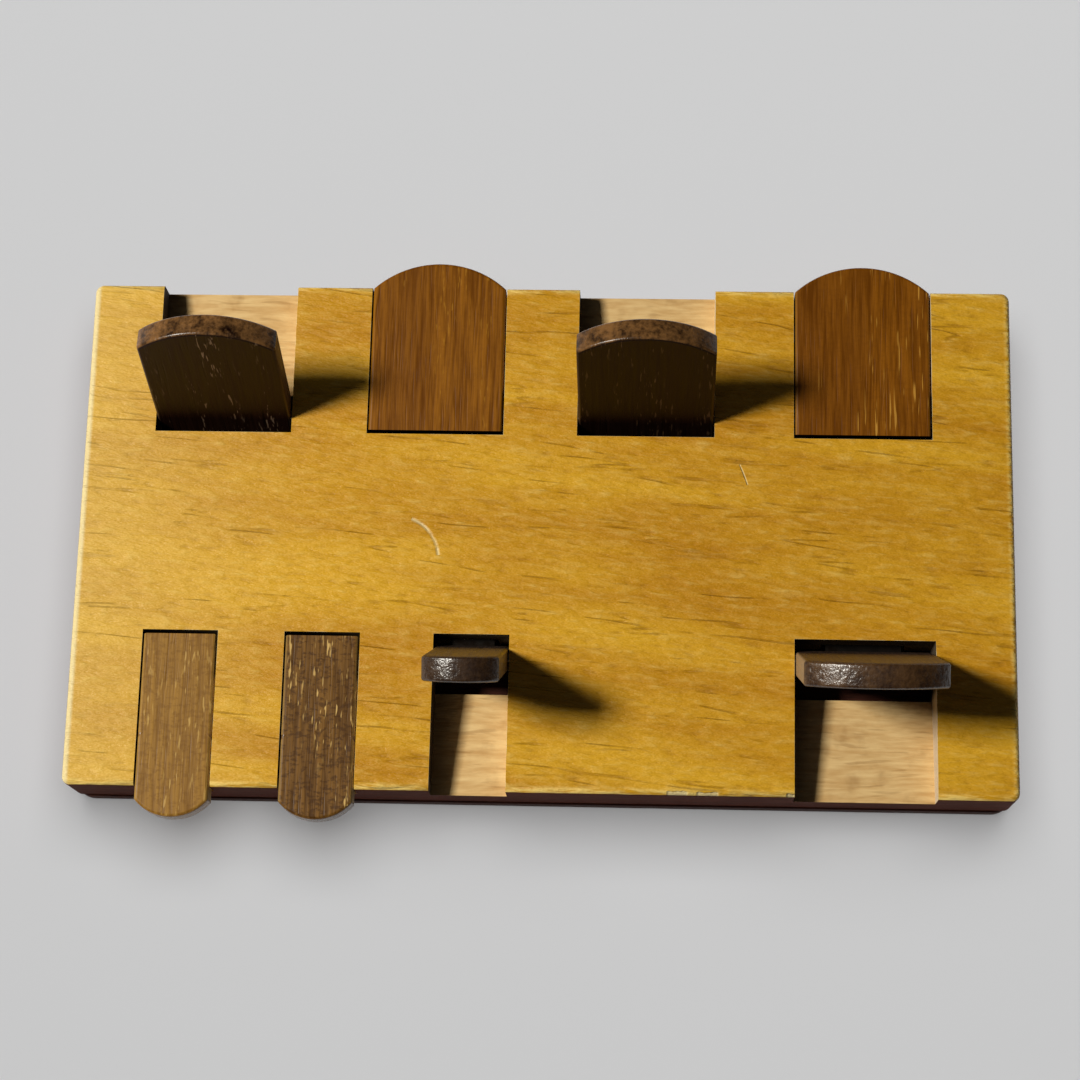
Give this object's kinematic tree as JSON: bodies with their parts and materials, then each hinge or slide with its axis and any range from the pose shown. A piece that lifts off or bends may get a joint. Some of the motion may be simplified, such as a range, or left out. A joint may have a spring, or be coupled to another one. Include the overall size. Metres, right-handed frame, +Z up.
{
  "type": "flip-up score marker",
  "caption": "Rectangular wooden block with hinged flip-up leaves in recesses along both long edges, used to keep score in card games.",
  "frame": {"origin": "middle of the flat underside", "axes": "+X along the block's long side, +Y towards the row of four wide leaves, +Z up out of the top face"},
  "size_m": [0.1004, 0.0615, 0.0256],
  "materials": {
    "honey_wood": "worn shellac over fine straight grain",
    "leaf_wood": "dark oiled hardwood with open pores",
    "base_wood": "dark stained hardwood",
    "spring_steel": "dull blued steel",
    "hinge_steel": "drawn wire",
    "screw_brass": "dull brass"
  },
  "bodies": {
    "root": {"board": "honey_wood", "base_plate": "base_wood", "back_spring_1": "spring_steel", "back_spring_2": "spring_steel", "back_spring_3": "spring_steel", "back_spring_4": "spring_steel", "front_spring_1": "spring_steel", "front_spring_2": "spring_steel", "front_spring_3": "spring_steel", "front_spring_4": "spring_steel", "back_hinge_rod": "hinge_steel", "front_hinge_rod": "hinge_steel", "spring_screws": "spring_steel", "base_screws": "screw_brass"},
    "back_flap_1": {"back_flap_1": "leaf_wood"},
    "back_flap_2": {"back_flap_2": "leaf_wood"},
    "back_flap_3": {"back_flap_3": "leaf_wood"},
    "back_flap_4": {"back_flap_4": "leaf_wood"},
    "front_flap_1": {"front_flap_1": "leaf_wood"},
    "front_flap_2": {"front_flap_2": "leaf_wood"},
    "front_flap_3": {"front_flap_3": "leaf_wood"},
    "front_flap_4": {"front_flap_4": "leaf_wood"}
  },
  "joints": [
    {"name": "back_hinge_1", "type": "hinge", "parent": "root", "child": "back_flap_1", "pos_m": [-0.03495, 0.01325, 0.0083], "axis": [1, 0, 0], "range_deg": [-75, 0], "deforming": ["back_spring_1"]},
    {"name": "back_hinge_2", "type": "hinge", "parent": "root", "child": "back_flap_2", "pos_m": [-0.01195, 0.01325, 0.0083], "axis": [1, 0, 0], "range_deg": [0, 75], "deforming": ["back_spring_2"]},
    {"name": "back_hinge_3", "type": "hinge", "parent": "root", "child": "back_flap_3", "pos_m": [0.0108, 0.01325, 0.0083], "axis": [1, 0, 0], "range_deg": [-75, 0], "deforming": ["back_spring_3"]},
    {"name": "back_hinge_4", "type": "hinge", "parent": "root", "child": "back_flap_4", "pos_m": [0.0341, 0.01325, 0.0083], "axis": [1, 0, 0], "range_deg": [0, 75], "deforming": ["back_spring_4"]},
    {"name": "front_hinge_1", "type": "hinge", "parent": "root", "child": "front_flap_1", "pos_m": [-0.0383, -0.01325, 0.0083], "axis": [-1, 0, 0], "range_deg": [0, 75], "deforming": ["front_spring_1"]},
    {"name": "front_hinge_2", "type": "hinge", "parent": "root", "child": "front_flap_2", "pos_m": [-0.02315, -0.01325, 0.0083], "axis": [-1, 0, 0], "range_deg": [0, 75], "deforming": ["front_spring_2"]},
    {"name": "front_hinge_3", "type": "hinge", "parent": "root", "child": "front_flap_3", "pos_m": [-0.0073, -0.01325, 0.0083], "axis": [-1, 0, 0], "range_deg": [-75, 0], "deforming": ["front_spring_3"]},
    {"name": "front_hinge_4", "type": "hinge", "parent": "root", "child": "front_flap_4", "pos_m": [0.03415, -0.01325, 0.0083], "axis": [-1, 0, 0], "range_deg": [-75, 0], "deforming": ["front_spring_4"]}
  ]
}
